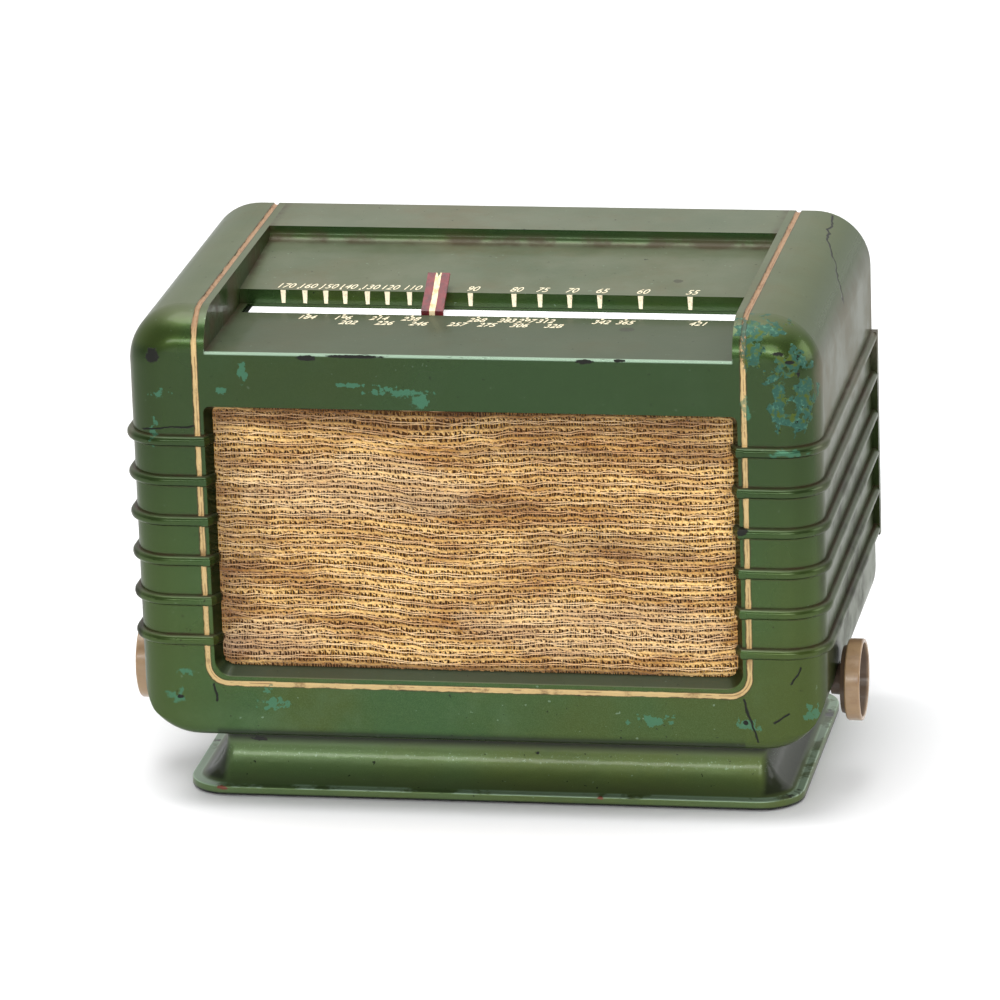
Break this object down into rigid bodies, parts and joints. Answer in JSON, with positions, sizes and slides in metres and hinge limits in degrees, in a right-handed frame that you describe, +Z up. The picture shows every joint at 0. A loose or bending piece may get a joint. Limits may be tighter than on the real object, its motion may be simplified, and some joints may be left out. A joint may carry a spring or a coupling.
{
  "type": "table radio",
  "caption": "Mains table radio in a ribbed green moulded cabinet on a coved plinth, with a cloth grille, a sliding dial pointer in the top and a knob on each side.",
  "frame": {"origin": "middle of the underside, on the surface that the radio stands on", "axes": "+Z up; -Y towards the front with the grille; +X towards the tuning knob, along the width"},
  "size_m": [0.343, 0.198, 0.2405],
  "materials": {
    "painted_bakelite": "moulded phenolic, sprayed metallic green, worn",
    "foot_rubber": "black rubber",
    "screw_steel": "dulled nickel plate",
    "opal_strip": "opal sheet",
    "pointer_paint": "crimson with a cream line",
    "carriage_brass": "tarnished",
    "rail_steel": "drawn",
    "zinc_plate": "zinc plated",
    "pulley_brass": "turned",
    "cord_braid": "waxed braided cord",
    "drum_aluminium": "spun",
    "vane_aluminium": "sheet",
    "steatite": "unglazed",
    "knob_tan": "moulded, tan",
    "chassis_plate": "cadmium plated, dull",
    "plywood": "raw plywood",
    "grille_weave": "coarse straw-coloured weave",
    "basket_paint": "grey lacquer",
    "cone_paper": "black pressed paper",
    "magnet_iron": "lacquered",
    "valve_glass": "clear",
    "black_bakelite": "moulded, black",
    "brown_bakelite": "laminated, brown",
    "anode_nickel": "carbonised nickel",
    "can_aluminium": "drawn, dull",
    "core_iron": "black lacquered laminations",
    "winding_paper": "waxed paper",
    "pressed_board": "dark brown pressed board"
  },
  "bodies": {
    "set": {"baffle_board": "plywood", "board_screws": "screw_steel", "cabinet": "painted_bakelite", "chassis": "chassis_plate", "chassis_screws": "screw_steel", "coil_cans": "can_aluminium", "control_nuts": "screw_steel", "cover_screws": "screw_steel", "dial_diffuser": "opal_strip", "drive_cord": "cord_braid", "electrolytic_can": "can_aluminium", "gang_frame": "zinc_plate", "gang_stators": "vane_aluminium", "grille_cloth": "grille_weave", "inlet_grommet": "foot_rubber", "lamp_bulbs": "valve_glass", "lamp_holders": "carriage_brass", "output_transformer": "core_iron", "plinth": "painted_bakelite", "plinth_feet": "foot_rubber", "plinth_screws": "screw_steel", "pointer_cord": "cord_braid", "pointer_rail": "rail_steel", "pulley_brackets": "zinc_plate", "pulley_pins": "rail_steel", "rear_cover": "pressed_board", "speaker_basket": "basket_paint", "speaker_cone": "cone_paper", "speaker_magnet": "magnet_iron", "speaker_screws": "screw_steel", "stator_insulators": "steatite", "terminal_screws": "carriage_brass", "terminal_strip": "brown_bakelite", "transformer_coil": "winding_paper", "transformer_core": "core_iron", "tuning_bushing": "carriage_brass", "valve_amplifier": "valve_glass", "valve_bases": "black_bakelite", "valve_detector": "valve_glass", "valve_electrodes": "anode_nickel", "valve_mixer": "valve_glass", "valve_output": "valve_glass", "valve_rectifier": "valve_glass", "valve_sockets": "brown_bakelite", "volume_control": "zinc_plate"},
    "drum": {"cord_drum": "drum_aluminium", "drum_spring": "rail_steel", "gang_rotor": "vane_aluminium"},
    "tuning": {"tuning_spindle": "carriage_brass", "tuning_knob": "knob_tan"},
    "volume": {"volume_shaft": "carriage_brass", "volume_knob": "knob_tan"},
    "dial_pointer": {"pointer": "pointer_paint", "pointer_carriage": "carriage_brass"},
    "pulley_right": {"pulley_right": "pulley_brass"},
    "pulley_left": {"pulley_left": "pulley_brass"},
    "pulley_corner": {"pulley_corner": "pulley_brass"},
    "pulley_rear": {"pulley_rear": "pulley_brass"}
  },
  "joints": [
    {"name": "drum_turn", "type": "hinge", "parent": "set", "child": "drum", "pos_m": [0.1, 0.017, 0.118], "axis": [1, 0, 0], "range_deg": [-68.57, 111.3]},
    {"name": "tuning_turn", "type": "hinge", "parent": "set", "child": "tuning", "pos_m": [0.14, -0.04, 0.0535], "axis": [1, 0, 0], "range_deg": [-837.52, 1358.91]},
    {"name": "pointer_travel", "type": "slide", "parent": "set", "child": "dial_pointer", "axis": [1, 0, 0], "range_m": [-0.0732, 0.1187]},
    {"name": "pulley_right_turn", "type": "hinge", "parent": "set", "child": "pulley_right", "pos_m": [0.116, -0.044, 0.203], "axis": [0, 1, 0], "range_deg": [-523.32, 849.19]},
    {"name": "pulley_left_turn", "type": "hinge", "parent": "set", "child": "pulley_left", "pos_m": [-0.134, -0.044, 0.199], "axis": [0, 1, 0], "range_deg": [-349.05, 566.3]},
    {"name": "pulley_corner_turn", "type": "hinge", "parent": "set", "child": "pulley_corner", "pos_m": [0.116, -0.036, 0.187], "axis": [0, 0, 1], "range_deg": [-849.19, 523.32]},
    {"name": "pulley_rear_turn", "type": "hinge", "parent": "set", "child": "pulley_rear", "pos_m": [0.124, 0.07, 0.179], "axis": [1, 0, 0], "range_deg": [-523.32, 849.19]},
    {"name": "volume_turn", "type": "hinge", "parent": "set", "child": "volume", "pos_m": [-0.15, -0.034, 0.0535], "axis": [1, 0, 0], "range_deg": [-150, 150]}
  ],
  "couplings": [
    {"joint": "tuning_turn", "follows": "drum_turn", "ratio": 12.2},
    {"joint": "pointer_travel", "follows": "drum_turn", "m_per_rad": 0.061},
    {"joint": "pulley_right_turn", "follows": "drum_turn", "ratio": 7.625},
    {"joint": "pulley_left_turn", "follows": "drum_turn", "ratio": 5.0833},
    {"joint": "pulley_corner_turn", "follows": "drum_turn", "ratio": -7.625},
    {"joint": "pulley_rear_turn", "follows": "drum_turn", "ratio": 7.625}
  ]
}
